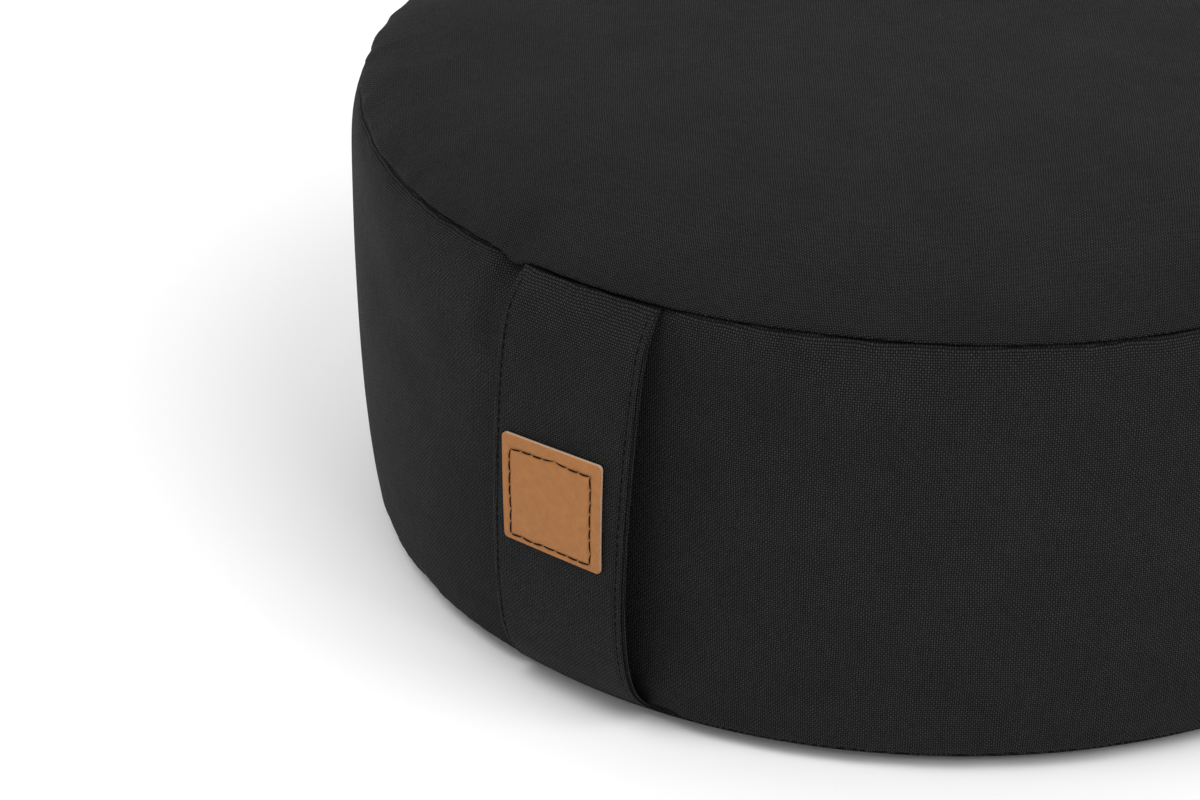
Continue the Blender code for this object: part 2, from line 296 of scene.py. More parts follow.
# Cushion cover
# A drum sewn from a round top, a side band and a round base, and filled until it stands firm. The top is
# crowned, the band is fullest above its middle and draws in to both seams, and the cloth is pinched
# beside the handle. The seams are sewn from inside, so only a sharp valley shows between two soft lips.
WALL_RADIUS = 165 * MM
CUSHION_HEIGHT = 148 * MM
UPPER_SEAM_HEIGHT = 126.5 * MM
LOWER_SEAM_HEIGHT = 4.5 * MM
BASE_FLAT_RADIUS = 144 * MM
BASE_RIM_TUCK = 2 * MM
BELLY_HEIGHT = 89 * MM
UPPER_DRAW = 3.2 * MM
UPPER_DRAW_POWER = 8
LOWER_DRAW = 7.4 * MM
LOWER_DRAW_POWER = 1.8
SEAM_VALLEY_DEPTH = 2.4 * MM
BAND_LIP = 1.6 * MM
TOP_LIP = 2.6 * MM
TOP_LIP_BULGE = 0.6 * MM
TOP_LIP_REACH = 8 * MM
PUCKER_PITCH = 8 * MM
PUCKER_DEPTH = 0.06 * MM
TOP_PUCKER_SHIFT = 0.4
CROWN_ORDER_ACROSS = 3.0
CROWN_ORDER_UP = 1.85
SWELLS = (
    {"count": 2, "wall": 0.5 * MM, "crown": 0.8 * MM, "seam": 0.5 * MM, "peak": 75},
    {"count": 3, "wall": 0.5 * MM, "crown": 0.9 * MM, "seam": 0.3 * MM, "peak": 100},
    {"count": 5, "wall": 0.4 * MM, "crown": 0.5 * MM, "seam": 0.3 * MM, "peak": 15},
    {"count": 8, "wall": 0.3 * MM, "crown": 0.4 * MM, "seam": 0.2 * MM, "peak": 25},
)
# Each fold is a trough between two places, given by degrees from the handle and height. One with a
# negative depth is a soft ridge, and the last one is the crease that packing has pressed in.
FOLDS = (
    {"start": (-8.6, 132 * MM), "end": (-8.2, 124 * MM), "depth": 1.3 * MM, "half": 4 * MM},
    {"start": (-8.4, 124 * MM), "end": (-11, 104 * MM), "depth": 1.2 * MM, "half": 5 * MM},
    {"start": (9.5, 114 * MM), "end": (17, 106 * MM), "depth": 0.8 * MM, "half": 9 * MM},
    {"start": (-38, 102 * MM), "end": (-24, 80 * MM), "depth": 0.8 * MM, "half": 12 * MM},
    {"start": (116, 98 * MM), "end": (134, 70 * MM), "depth": 1.0 * MM, "half": 14 * MM},
    {"start": (-154, 56 * MM), "end": (-136, 86 * MM), "depth": 1.0 * MM, "half": 14 * MM},
    {"start": (11, 96 * MM), "end": (14, 60 * MM), "depth": 0.7 * MM, "half": 9 * MM},
    {"start": (22, 113 * MM), "end": (36, 103 * MM), "depth": -1.5 * MM, "half": 8 * MM},
    {"start": (-17, 16 * MM), "end": (31, 48.5 * MM), "depth": 0.45 * MM, "half": 2.2 * MM},
)
FLAT_DEPTH = 2.0 * MM
FLAT_SOFTNESS = 2 * MM
FLAT_REACH = 90 * MM
FLAT_FADE_POWER = 0.5
POCKET_DEPTH = 1.8 * MM
POCKET_REACH = 12 * MM
POCKET_HALF_WIDTH = 24.5 * MM
POCKET_FADE = 8 * MM
HANDLE_WIDTH = 47.5 * MM
GRAIN_TURN = math.radians(127)
LUMP_SIZE = 34 * MM
LUMP_DEPTH = 0.3 * MM
LUMP_REACH = 12 * MM
FILLING_PRESSURE = 4
FILLING_FRAMES = 20
FILLING_STRIDE = 4
CLOTH_SLACK = 0.004
FILLING_CAP = 0.4 * MM
FILLING_CALM = 24 * MM
COVER_COLUMNS = 640
COVER_ROWS = {"base": 5, "skirt": 8, "band": 64, "top": 66}


def fade(share):
    """1 at a share of 0 and 0 at a share of 1: a smoothstep, level at both ends."""
    share = np.clip(share, 0, 1)
    return 1 - share * share * (3 - 2 * share)


def spaced(rows, crowding=0.9):
    """Shares from 0 to 1 that crowd towards both ends: the share less a sine of it."""
    share = np.linspace(0, 1, rows)
    return share - crowding * np.sin(2 * np.pi * share) / (2 * np.pi)


def unevenness(points, size, seed):
    """Soft lumps of about that size, mostly between -1 and 1: the sum of plane sine waves in random
    directions, each 1.3 to 3.2 times that size long."""
    chance = np.random.default_rng(seed)
    waves = 9
    headings = chance.normal(size=(waves, 3))
    headings /= np.linalg.norm(headings, axis=1, keepdims=True)
    lengths = size * chance.uniform(1.3, 3.2, waves)
    phases = chance.uniform(0, 2 * np.pi, waves)
    turns = points @ (headings / lengths[:, None]).T * 2 * np.pi + phases
    return np.sin(turns).sum(axis=-1) / waves * 2


def swell(azimuth, what):
    """The filling's unevenness round the cushion: one cosine for each row of the table."""
    return sum(row[what] * np.cos(row["count"] * (azimuth - math.radians(row["peak"]))) for row in SWELLS)


def fold_depth(azimuth, height):
    """How far the folds sink the cloth: each is a bell curve of the distance from its line."""
    depth = np.zeros(np.broadcast(azimuth, height).shape)
    across = azimuth * WALL_RADIUS
    for fold in FOLDS:
        x, z = math.radians(fold["start"][0]) * WALL_RADIUS, fold["start"][1]
        run_x, run_z = math.radians(fold["end"][0]) * WALL_RADIUS - x, fold["end"][1] - z
        along = ((across - x) * run_x + (height - z) * run_z) / (run_x**2 + run_z**2)
        along = np.clip(along, 0, 1)
        away = np.hypot(across - x - run_x * along, height - z - run_z * along)
        depth += fold["depth"] * np.exp(-((away / fold["half"]) ** 2))
    return depth


def upper_seam_height(azimuth):
    """The seam's level, with the filling's swells added."""
    return UPPER_SEAM_HEIGHT + swell(azimuth, "seam")


def draw(height, azimuth):
    """How far the band has drawn in from its belly: a high power of the way up to the upper seam, and a
    superellipse of the way down to the lower one."""
    up = np.clip((height - BELLY_HEIGHT) / (upper_seam_height(azimuth) - BELLY_HEIGHT), 0, 1)
    down = 1 - np.clip((height - LOWER_SEAM_HEIGHT) / (BELLY_HEIGHT - LOWER_SEAM_HEIGHT), 0, 1)
    power = LOWER_DRAW_POWER
    return UPPER_DRAW * up**UPPER_DRAW_POWER + LOWER_DRAW * (1 - (1 - down**power) ** (1 / power))


def between_seams(height, azimuth):
    """0 at both seams and 1 halfway between them, as a sine."""
    top = upper_seam_height(azimuth)
    return np.sin(np.pi * np.clip((height - LOWER_SEAM_HEIGHT) / (top - LOWER_SEAM_HEIGHT), 0, 1))


def recess(height, azimuth):
    """How far the handle presses the band in: a plane behind it, which a hyperbola joins to the round
    wall, and a pocket for each of its ends, which fades up, down and sideways as a smoothstep."""
    across = np.abs(azimuth) * WALL_RADIUS
    past_plane = WALL_RADIUS - (WALL_RADIUS - FLAT_DEPTH) / np.maximum(0.5, np.cos(azimuth))
    flat = (past_plane + np.hypot(past_plane, FLAT_SOFTNESS)) / 2 * fade(across / FLAT_REACH)
    flat = flat * between_seams(height, azimuth) ** FLAT_FADE_POWER
    seam_distance = np.minimum(upper_seam_height(azimuth) - height, height - LOWER_SEAM_HEIGHT)
    pocket = POCKET_DEPTH * fade(seam_distance / POCKET_REACH)
    return flat + pocket * fade((across - POCKET_HALF_WIDTH) / POCKET_FADE)


def band_radius(height, azimuth):
    """The filled radius, less what the cloth draws in, plus its swells, less what the handle presses."""
    bulge = swell(azimuth, "wall") * between_seams(height, azimuth)
    return WALL_RADIUS - draw(height, azimuth) + bulge - recess(height, azimuth)


def around(radius, height, azimuth):
    """Points at a radius and height; azimuth 0 is -Y and a positive one turns towards +X."""
    return np.stack(np.broadcast_arrays(radius * np.sin(azimuth), -radius * np.cos(azimuth), height), axis=-1)


def rounding(distance, lip):
    """How far a soft lip turns in at that distance from its seam: a quarter circle's fall, from 1 to 0."""
    share = np.clip(1 - distance / lip, 0, 1)
    return 1 - np.sqrt(1 - share**2)


def pucker(azimuth):
    """The seam's small uneven gathers: a sine round the seam, and one 2.45 times as fine and 0.6 times
    as deep. The pitch of both drifts by two slow sines."""
    arc = azimuth * WALL_RADIUS
    drift = 2.1 * np.sin(3 * azimuth + 1) + 1.4 * np.sin(7 * azimuth)
    first = np.sin(2 * np.pi * arc / PUCKER_PITCH + drift)
    return PUCKER_DEPTH * (first + 0.6 * np.sin(4.9 * np.pi * arc / PUCKER_PITCH - drift))


def cover_rings(azimuth):
    """Rings of the cover from the base to the crown, as an array of rows by columns by xyz, with the name
    of the panel between each ring and the next. The base is a flat disc and a parabola up to the lower
    seam, the band runs between the seams, and the top is a superellipse with a lip above its seam."""
    rows = []
    panels = []
    base_rim = WALL_RADIUS - LOWER_DRAW - BASE_RIM_TUCK
    for share in np.linspace(0.02, 1, COVER_ROWS["base"]):
        rows.append(around(BASE_FLAT_RADIUS * share, 0 * azimuth, azimuth))
    for share in np.linspace(0, 1, COVER_ROWS["skirt"])[1:]:
        radius = BASE_FLAT_RADIUS + (base_rim - BASE_FLAT_RADIUS) * share
        rows.append(around(radius, (LOWER_SEAM_HEIGHT - BAND_LIP) * share**2 + 0 * azimuth, azimuth))
    panels += ["base"] * len(rows)
    seam = upper_seam_height(azimuth)
    for share in spaced(COVER_ROWS["band"]):
        height = LOWER_SEAM_HEIGHT + (seam - LOWER_SEAM_HEIGHT) * share
        to_seam = np.minimum(height - LOWER_SEAM_HEIGHT, seam - height)
        lip = (SEAM_VALLEY_DEPTH + pucker(azimuth)) * rounding(to_seam, BAND_LIP)
        lip += pucker(azimuth) * fade(to_seam / (4 * BAND_LIP))
        radius = band_radius(height, azimuth) - fold_depth(azimuth, height) - lip
        rows.append(around(radius, height, azimuth))
    panels += ["band"] * (COVER_ROWS["band"] - 1)
    rim = WALL_RADIUS - UPPER_DRAW
    for share in spaced(COVER_ROWS["top"], crowding=0.6)[1:-1]:
        turn = (1 - (1 - share) ** (CROWN_ORDER_ACROSS / 2)) * np.pi / 2
        radius = rim * np.cos(turn) ** (2 / CROWN_ORDER_ACROSS)
        height = seam + (CUSHION_HEIGHT - seam) * np.sin(turn) ** (2 / CROWN_ORDER_UP)
        inward = radius / rim
        lump = swell(azimuth, "crown") * np.sin(np.pi * inward) * inward**2
        lip = (SEAM_VALLEY_DEPTH + pucker(azimuth + TOP_PUCKER_SHIFT)) * rounding(height - seam, TOP_LIP)
        lip -= TOP_LIP_BULGE * fade((height - seam) / TOP_LIP_REACH)
        lip += pucker(azimuth + TOP_PUCKER_SHIFT) * fade((height - seam) / TOP_LIP_REACH)
        pinch = fold_depth(azimuth, height)
        rows.append(around(radius - lip, height + lump - pinch, azimuth))
    panels += ["top"] * (COVER_ROWS["top"] - 2)
    return np.array(rows), panels


def cloth_map(points, azimuth, panel):
    """Where each point lies on its flat panel, in metres. The band unrolls. A round panel keeps each
    point's distance from its middle, measured along the cloth, and its direction, turned to the grain."""
    if panel == "band":
        return np.stack(np.broadcast_arrays(azimuth * WALL_RADIUS, points[..., 2]), axis=-1)
    radius = np.hypot(points[..., 0], points[..., 1])
    reach = radius + (np.abs(points[..., 2] - CUSHION_HEIGHT) if panel == "top" else 0)
    direction = azimuth - GRAIN_TURN
    return np.stack((reach * np.sin(direction), -reach * np.cos(direction)), axis=-1)


def closed_skin(name, rings, poles, maps, finish):
    """A mesh of closed bodies. Each body has rings (bodies, rows, columns, xyz), each ring joined to the
    next by quads, and a fan to a pole at each end (bodies, 2, xyz). maps holds the UVs of each strip of
    quads (bodies, strips, 2 rows, columns + 1, uv)."""
    bodies, rows, columns = rings.shape[:3]
    points = np.concatenate((rings.reshape(bodies, -1, 3), poles), axis=1)
    column = np.arange(columns)
    following = (column + 1) % columns
    start = np.arange(rows - 1)[:, None] * columns
    above = start + columns
    quads = np.stack((start + column, start + following, above + following, above + column), -1)
    last = (rows - 1) * columns
    pole = np.full(columns, rows * columns)
    first_fan = np.stack((following, column, pole), -1)
    last_fan = np.stack((last + column, last + following, pole + 1), -1)
    corners = np.concatenate([part.ravel() for part in (quads, first_fan, last_fan)])
    corners = corners + np.arange(bodies)[:, None] * points.shape[1]
    sizes = np.tile(np.repeat((4, 3), (quads.size // 4, 2 * columns)), bodies)
    maps = np.broadcast_to(maps, (bodies, *maps.shape[1:]))
    low, high = maps[:, :, 0], maps[:, :, 1]
    quad_maps = np.stack((low[:, :, :-1], low[:, :, 1:], high[:, :, 1:], high[:, :, :-1]), 3)
    near, far = low[:, 0], high[:, -1]
    first_maps = np.stack((near[:, 1:], near[:, :-1], (near[:, 1:] + near[:, :-1]) / 2), 2)
    last_maps = np.stack((far[:, :-1], far[:, 1:], (far[:, 1:] + far[:, :-1]) / 2), 2)
    all_maps = [part.reshape(bodies, -1, 2) for part in (quad_maps, first_maps, last_maps)]
    mesh = bpy.data.meshes.new(name)
    mesh.vertices.add(bodies * points.shape[1])
    mesh.vertices.foreach_set("co", points.astype(np.float32).ravel())
    mesh.loops.add(corners.size)
    mesh.loops.foreach_set("vertex_index", corners.astype(np.int32).ravel())
    mesh.polygons.add(len(sizes))
    mesh.polygons.foreach_set("loop_start", (np.cumsum(sizes) - sizes).astype(np.int32))
    layer = mesh.uv_layers.new(name="cloth")
    layer.data.foreach_set("uv", np.concatenate(all_maps, 1).astype(np.float32).ravel())
    mesh.update(calc_edges=True)
    mesh.shade_smooth()
    mesh.materials.append(finish)
    piece = bpy.data.objects.new(name, mesh)
    bpy.context.collection.objects.link(piece)
    return piece


def refined(coarse, rows, columns):
    """A coarse grid of values read at more rows and columns, linearly, then softened twice each way. The
    columns wrap round, and the last one repeats the first."""
    row = np.linspace(0, coarse.shape[0] - 1, rows)
    column = np.linspace(0, coarse.shape[1], columns)
    whole_row, whole_column = row.astype(int), column.astype(int)
    next_row = np.minimum(whole_row + 1, coarse.shape[0] - 1)
    part_row, part_column = (row - whole_row)[:, None], column - whole_column
    lower, upper = (
        coarse[pick][:, whole_column % coarse.shape[1]] * (1 - part_column)
        + coarse[pick][:, (whole_column + 1) % coarse.shape[1]] * part_column
        for pick in (whole_row, next_row)
    )
    values = (lower * (1 - part_row) + upper * part_row)[:, :-1]
    for _ in range(2):
        values = (np.roll(values, 1, 1) + 2 * values + np.roll(values, -1, 1)) / 4
        values[1:-1] = (values[:-2] + 2 * values[1:-1] + values[2:]) / 4
    return np.hstack((values, values[:, :1]))


def filled(rings, outward, panels):
    """How far the filling pushes each place of the cover out: a cloth simulation of a coarse copy, with
    its base and its two seams held, a little slack in its cloth and the filling's pressure inside it.
    The motion is capped, and each ring's mean is taken out, which keeps the cushion's measured form."""
    coarse = rings[::2, :-1:FILLING_STRIDE]
    held = np.array([panel == "base" for panel in panels + ["top"]])
    held |= np.arange(len(rings)) == panels.index("band")
    held |= np.arange(len(rings)) == panels.index("top")
    held = held | np.roll(held, 1) | np.roll(held, -1)
    poles = np.stack((coarse[0].mean(axis=0), coarse[-1].mean(axis=0)))
    maps = np.zeros((1, len(coarse) - 1, 2, coarse.shape[1] + 1, 2))
    trial = closed_skin("trial", coarse[None], poles[None], maps, cover_canvas)
    sewn = trial.vertex_groups.new(name="sewn")
    places = np.arange(coarse.shape[0] * coarse.shape[1]).reshape(coarse.shape[:2])
    sewn.add(places[held[::2]].ravel().tolist(), 1, "REPLACE")
    cloth = trial.modifiers.new("filling", "CLOTH")
    cloth.settings.vertex_group_mass = "sewn"
    cloth.settings.effector_weights.gravity = 0
    cloth.settings.use_pressure = True
    cloth.settings.uniform_pressure_force = FILLING_PRESSURE
    cloth.settings.shrink_min = -CLOTH_SLACK
    cloth.collision_settings.use_collision = False
    for moment in range(1, FILLING_FRAMES + 1):
        bpy.context.scene.frame_set(moment)
    pressed = trial.evaluated_get(bpy.context.evaluated_depsgraph_get()).data
    points = np.empty(len(pressed.vertices) * 3, np.float32)
    pressed.vertices.foreach_get("co", points)
    bpy.data.objects.remove(trial)
    bpy.context.scene.frame_set(1)
    motion = points.reshape(-1, 3)[: places.size].reshape(coarse.shape) - coarse
    push = (motion * outward[::2, :-1:FILLING_STRIDE]).sum(axis=-1)
    push = np.clip(push - push.mean(axis=1, keepdims=True), -FILLING_CAP, FILLING_CAP)
    return refined(push, rings.shape[0], rings.shape[1])


def build_cover():
    """The cover's rings, moved away from the cushion's middle, half as much up or down as sideways, by
    the soft lumps, which die out at the seams, and by the cloth's motion, which dies out at the handle."""
    azimuth = np.linspace(-np.pi, np.pi, COVER_COLUMNS + 1)
    rings, panels = cover_rings(azimuth)
    outward = rings * (1, 1, 0.5) - (0, 0, UPPER_SEAM_HEIGHT / 4)
    outward /= np.linalg.norm(outward, axis=-1, keepdims=True)
    from_base = rings[..., 2] - LOWER_SEAM_HEIGHT
    from_seam = np.abs(rings[..., 2] - upper_seam_height(azimuth))
    taut = fade(np.minimum(from_base, from_seam) / LUMP_REACH)
    relief = unevenness(rings, LUMP_SIZE, seed=5) * LUMP_DEPTH * (1 - taut)
    behind_handle = fade((np.abs(azimuth) * WALL_RADIUS - HANDLE_WIDTH / 2) / FILLING_CALM)
    relief = relief + filled(rings, outward, panels) * (1 - behind_handle)
    rings = rings + outward * relief[..., None]
    maps = np.array(
        [
            [cloth_map(rings[row + step], azimuth, panel) for step in (0, 1)]
            for row, panel in enumerate(panels)
        ]
    )
    poles = np.array([(0, 0, 0), (0, 0, rings[-1, :, 2].mean())])
    return closed_skin("cushion_cover", rings[None, :, :-1], poles[None], maps[None], cover_canvas)


cover = build_cover()
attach(cover, "root")
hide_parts("cushion")

# Handle
# A strip of the same canvas folded into two layers, its raw edges turned in, and topstitched close to
# both long edges. Its ends are caught in the two seams. It hangs slack between them, with its right
# edge standing furthest off the band.
HANDLE_THICKNESS = 2.4 * MM
HANDLE_STAND = 6.8 * MM
HANDLE_TWIST = 3.6 * MM
HANDLE_TWIST_GROWTH = 6 * MM
HANDLE_MIDDLE_DROP = 1.6 * MM
HANDLE_TOP_BOW_POWER = 8
HANDLE_LOW_BOW_POWER = 5
HANDLE_NARROWING = 0.04
HANDLE_TOP_NARROWING = 0.04
HANDLE_LEAN = 6.6 * MM
HANDLE_TOP_LEAN = 0.9 * MM
HANDLE_ARC_RADIUS = 168 * MM
HANDLE_END_GAP = 0.3 * MM
SEAT_CLEARANCE = 0.35 * MM
TOPSTITCH_INSET = 2.4 * MM
TOPSTITCH_GROOVE = 0.35 * MM
TOPSTITCH_GROOVE_HALF = 0.7 * MM
HEM_PUFF = 0.25 * MM
HEM_CURL = 2 * MM
HEM_CURL_START = 0.86
HANDLE_END_THINNING = 0.4
LAYER_EDGE = 0.22
LAYER_STEP = 0.6 * MM
LAYER_SLOT = 1.8 * MM
LAYER_SLOT_SIDES = (0.52, 0.48)
HANDLE_ROWS = 200
HANDLE_FACE_COLUMNS = 76
HANDLE_EDGE_COLUMNS = 9


def handle_height(share):
    """Height of the strap at that share of its length, 0 at the upper seam and 1 at the lower one."""
    top = upper_seam_height(0) - HANDLE_END_GAP
    bottom = LOWER_SEAM_HEIGHT + SEAT_CLEARANCE
    return top + (bottom - top) * share


handle_length = handle_height(0) - handle_height(1)


def at_top(share):
    """1 at the upper seam, falling off soon below it by a power of what is left of the length."""
    return (1 - share) ** HANDLE_TOP_BOW_POWER


def handle_bow(share):
    """0 where the strap meets the seams and nearly 1 along its slack middle, by a power at each end."""
    return (1 - at_top(share)) * (1 - share**HANDLE_LOW_BOW_POWER)


def handle_width(share):
    """The strap's width as a share of its full width: less along its slack middle and at its top end."""
    return 1 - HANDLE_NARROWING * handle_bow(share) - HANDLE_TOP_NARROWING * at_top(share)


def handle_point(share, across, out):
    """Points of the strap, that far out from its inner face, which lies on the band at the seams and
    bows out between them. It stands off more towards its right edge, the more so lower down, and less
    along its middle. It leans evenly down its length, and its left hem curls in towards the lower end."""
    height = handle_height(share)
    lean = HANDLE_LEAN * (share - 0.5) + HANDLE_TOP_LEAN * at_top(share)
    azimuth = (across - lean) / HANDLE_ARC_RADIUS
    side = across / (HANDLE_WIDTH / 2)
    twist = HANDLE_TWIST + HANDLE_TWIST_GROWTH * (share - 0.5)
    stand = HANDLE_STAND + twist * side / 2 - HANDLE_MIDDLE_DROP * (1 - side**2)
    seated = band_radius(height, azimuth) + SEAT_CLEARANCE
    bow = handle_bow(share)
    radius = seated + (WALL_RADIUS + stand - seated) * bow
    hem = np.clip((-side - HEM_CURL_START) / (1 - HEM_CURL_START), 0, 1)
    radius = radius - HEM_CURL * bow * share * hem**2
    return around(radius + out * (1 - HANDLE_END_THINNING * (1 - bow) ** 2), height, azimuth)


def handle_section():
    """The strap's section as across and out, from the outer face round both folded edges. Each layer's
    edge is a half circle, the outer layer's set back by a step, and a slot narrows inwards between the
    two. The face sinks under the topstitching as a bell curve and puffs out beside it as a sine."""
    half, fold = HANDLE_WIDTH / 2, LAYER_EDGE * HANDLE_THICKNESS
    bend = np.radians(np.linspace(90, -90, HANDLE_EDGE_COLUMNS))
    turn = np.stack((np.cos(bend) - 1, np.sin(bend)), -1) * fold
    outer_edge = turn + (half - LAYER_STEP, HANDLE_THICKNESS - fold)
    inner_edge = turn + (half, fold)
    slot_end = half - LAYER_STEP - LAYER_SLOT
    slot = np.array([(slot_end, HANDLE_THICKNESS * share) for share in LAYER_SLOT_SIDES])
    right = np.concatenate((outer_edge, slot, inner_edge))
    face = np.linspace(-1, 1, HANDLE_FACE_COLUMNS)[1:-1] * (half - LAYER_STEP - fold)
    from_edge = half - np.abs(face)
    groove = TOPSTITCH_GROOVE * np.exp(-(((from_edge - TOPSTITCH_INSET) / TOPSTITCH_GROOVE_HALF) ** 2))
    puff = HEM_PUFF * np.sin(np.pi * np.clip(from_edge / TOPSTITCH_INSET, 0, 1))
    outer = np.stack((face, HANDLE_THICKNESS + puff - groove), -1)
    inner = np.stack((face[::-2], 0 * face[::-2]), -1)
    left = (right * (-1, 1))[::-1]
    return np.concatenate((outer, right, inner, left))


def build_handle():
    """The section carried down the strap. Its map is the way round the section by the way down."""
    section = handle_section()
    share = spaced(HANDLE_ROWS, crowding=0.7)[:, None]
    rings = handle_point(share, section[:, 0] * handle_width(share), section[:, 1])
    steps = np.linalg.norm(np.diff(np.vstack((section, section[:1])), axis=0), axis=1)
    girth = np.concatenate(([0], np.cumsum(steps)))
    flat = np.stack(np.broadcast_arrays(girth[None, :], share * handle_length), -1)
    maps = np.stack((flat[:-1], flat[1:]), 1)
    poles = np.array([rings[0].mean(axis=0), rings[-1].mean(axis=0)])
    return closed_skin("handle_strap", rings[None], poles[None], maps[None], handle_canvas)


handle = build_handle()
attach(handle, "root")
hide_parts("handle")

# Topstitching of the handle
# One line of black thread near each long edge of the strap, sewn through both layers and sunk in the
# cloth, from just under the upper seam to just above the lower one.
THREAD_RADIUS = 0.17 * MM
TOPSTITCH_LENGTH = 2.7 * MM
TOPSTITCH_GAP = 0.3
TOPSTITCH_END = 2 * MM
TOPSTITCH_LIFT = 0.12 * MM
THREAD_BLACK = (0.003, 0.003, 0.003, 1)
THREAD_TWIST = 0.9 * MM
THREAD_RELIEF = 0.05 * MM
STITCH_STEPS = 9


def thread_material(name, colour):
    """Twisted thread on the stitch's own UV map: a sine of the way along plus the way round it."""
    finish, tree, shader = new_material(name, Base_Color=colour, Roughness=0.8, Specular_IOR_Level=0.08)
    run = node(tree, "ShaderNodeUVMap", uv_map="cloth").outputs[0]
    split = node(tree, "ShaderNodeSeparateXYZ", {0: run})
    slant = maths(tree, "ADD", split.outputs["X"], split.outputs["Y"])
    ridge = maths(tree, "SINE", maths(tree, "MULTIPLY", slant, 2 * math.pi / THREAD_TWIST))
    emboss(tree, shader, ridge, THREAD_RELIEF, strength=0.8)
    return finish


def stitches(name, holes, surface, radius, lift, gap, finish):
    """A run of stitches between holes (number, 2) on a surface, which gives the point at across, along
    and out. Each stitch is a tube that rises from one hole and sinks into the next as a power of a sine,
    and thins towards both ends as another. gap is the share of each step that stays bare."""
    near, far = holes[:-1, None, None], holes[1:, None, None]
    share = np.linspace(0, 1, STITCH_STEPS)[1:-1, None, None]
    angle = np.linspace(0, 2 * np.pi, STITCH_STEPS)[:, None]
    near, far = near + (far - near) * gap / 2, far - (far - near) * gap / 2
    run = far - near
    length = np.linalg.norm(run, axis=-1, keepdims=True)
    sideways = run[..., ::-1] * (1, -1) / length
    rise = np.sin(np.pi * share)
    girth = radius * rise**0.4
    place = near + run * share + sideways * girth * np.cos(angle)
    out = (lift * rise**0.7 + girth * np.sin(angle))[..., 0]
    rings = surface(place[..., 0], place[..., 1], np.broadcast_to(out, place.shape[:-1]))
    ends = np.stack((near[:, 0, 0], far[:, 0, 0]), 1)
    poles = surface(ends[..., 0], ends[..., 1], np.full(ends.shape[:-1], -radius / 2))
    flat = np.stack(np.broadcast_arrays(radius * angle[:, 0], length[..., 0] * share[..., 0]), -1)
    maps = np.stack((flat[:, :-1], flat[:, 1:]), 2)
    return closed_skin(name, rings[:, :, :-1], poles, maps, finish)


def on_handle(across, down, out):
    """A point on the strap's outer face, by across and down its length."""
    share = down / handle_length
    return handle_point(share, across * handle_width(share), HANDLE_THICKNESS - TOPSTITCH_GROOVE + out)


black_thread = thread_material("black_thread", THREAD_BLACK)
for side, name in ((-1, "handle_stitches_left"), (1, "handle_stitches_right")):
    count = round((handle_length - 2 * TOPSTITCH_END) / TOPSTITCH_LENGTH)
    down = np.linspace(TOPSTITCH_END, handle_length - TOPSTITCH_END, count + 1)
    across = np.full(count + 1, side * (HANDLE_WIDTH / 2 - TOPSTITCH_INSET))
    holes = np.stack((across, down), -1)
    run = stitches(name, holes, on_handle, THREAD_RADIUS, TOPSTITCH_LIFT, TOPSTITCH_GAP, black_thread)
    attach(run, "root")

# Leather patch
# A die-cut square of smooth tan leather with rounded corners and pale raw edges, left bare. It is sewn
# onto the handle by one square of black thread that pulls a groove and a dimple at each hole.
PATCH_WIDTH = 32.8 * MM
PATCH_HEIGHT = 31.6 * MM
PATCH_THICKNESS = 1.2 * MM
PATCH_CORNER = 1.2 * MM
PATCH_BEVEL = 0.35 * MM
PATCH_ACROSS = -0.6 * MM
PATCH_CENTRE_HEIGHT = 67.7 * MM
PATCH_TURN = math.radians(2.4)
PATCH_SKEW = 0.05
PATCH_SEWN = {"left": -14 * MM, "right": 13 * MM, "bottom": -14.2 * MM, "top": 12 * MM}
PATCH_STITCH = 3.7 * MM
PATCH_GROOVE = 0.3 * MM
PATCH_GROOVE_HALF = 0.5 * MM
PATCH_DIMPLE = 0.3 * MM
PATCH_DIMPLE_HALF = 0.7 * MM
PATCH_THREAD_RADIUS = 0.2 * MM
PATCH_THREAD_LIFT = 0.2 * MM
PATCH_STITCH_GAP = 0.03
PATCH_STITCH_WANDER = 0.2 * MM
PATCH_COLUMNS = 320
PATCH_FACE_ROWS = 60
LEATHER_TAN = (0.40, 0.170, 0.052, 1)
LEATHER_DEEP = (0.215, 0.080, 0.020, 1)
LEATHER_RAW = (0.46, 0.31, 0.21, 1)
LEATHER_ROUGHNESS = 0.52
LEATHER_RAW_ROUGHNESS = 0.87
LEATHER_CLOUD_SCALE = 300
LEATHER_GRAIN_SCALE = 1900
LEATHER_FIBRE_SCALE = 2600
LEATHER_RELIEF = 0.09 * MM


def patch_point(right, up, out):
    """A point of the patch by right and up from its centre, laid on the strap's outer face. The square
    is turned, and its upper part is carried to the right by a share of its height."""
    turned_right = right * math.cos(PATCH_TURN) - up * math.sin(PATCH_TURN)
    turned_up = right * math.sin(PATCH_TURN) + up * math.cos(PATCH_TURN)
    share = (handle_height(0) - PATCH_CENTRE_HEIGHT - turned_up) / handle_length
    across = PATCH_ACROSS + turned_right + PATCH_SKEW * turned_up + HANDLE_LEAN * (share - 0.5)
    return handle_point(share, across, HANDLE_THICKNESS + SEAT_CLEARANCE + out)


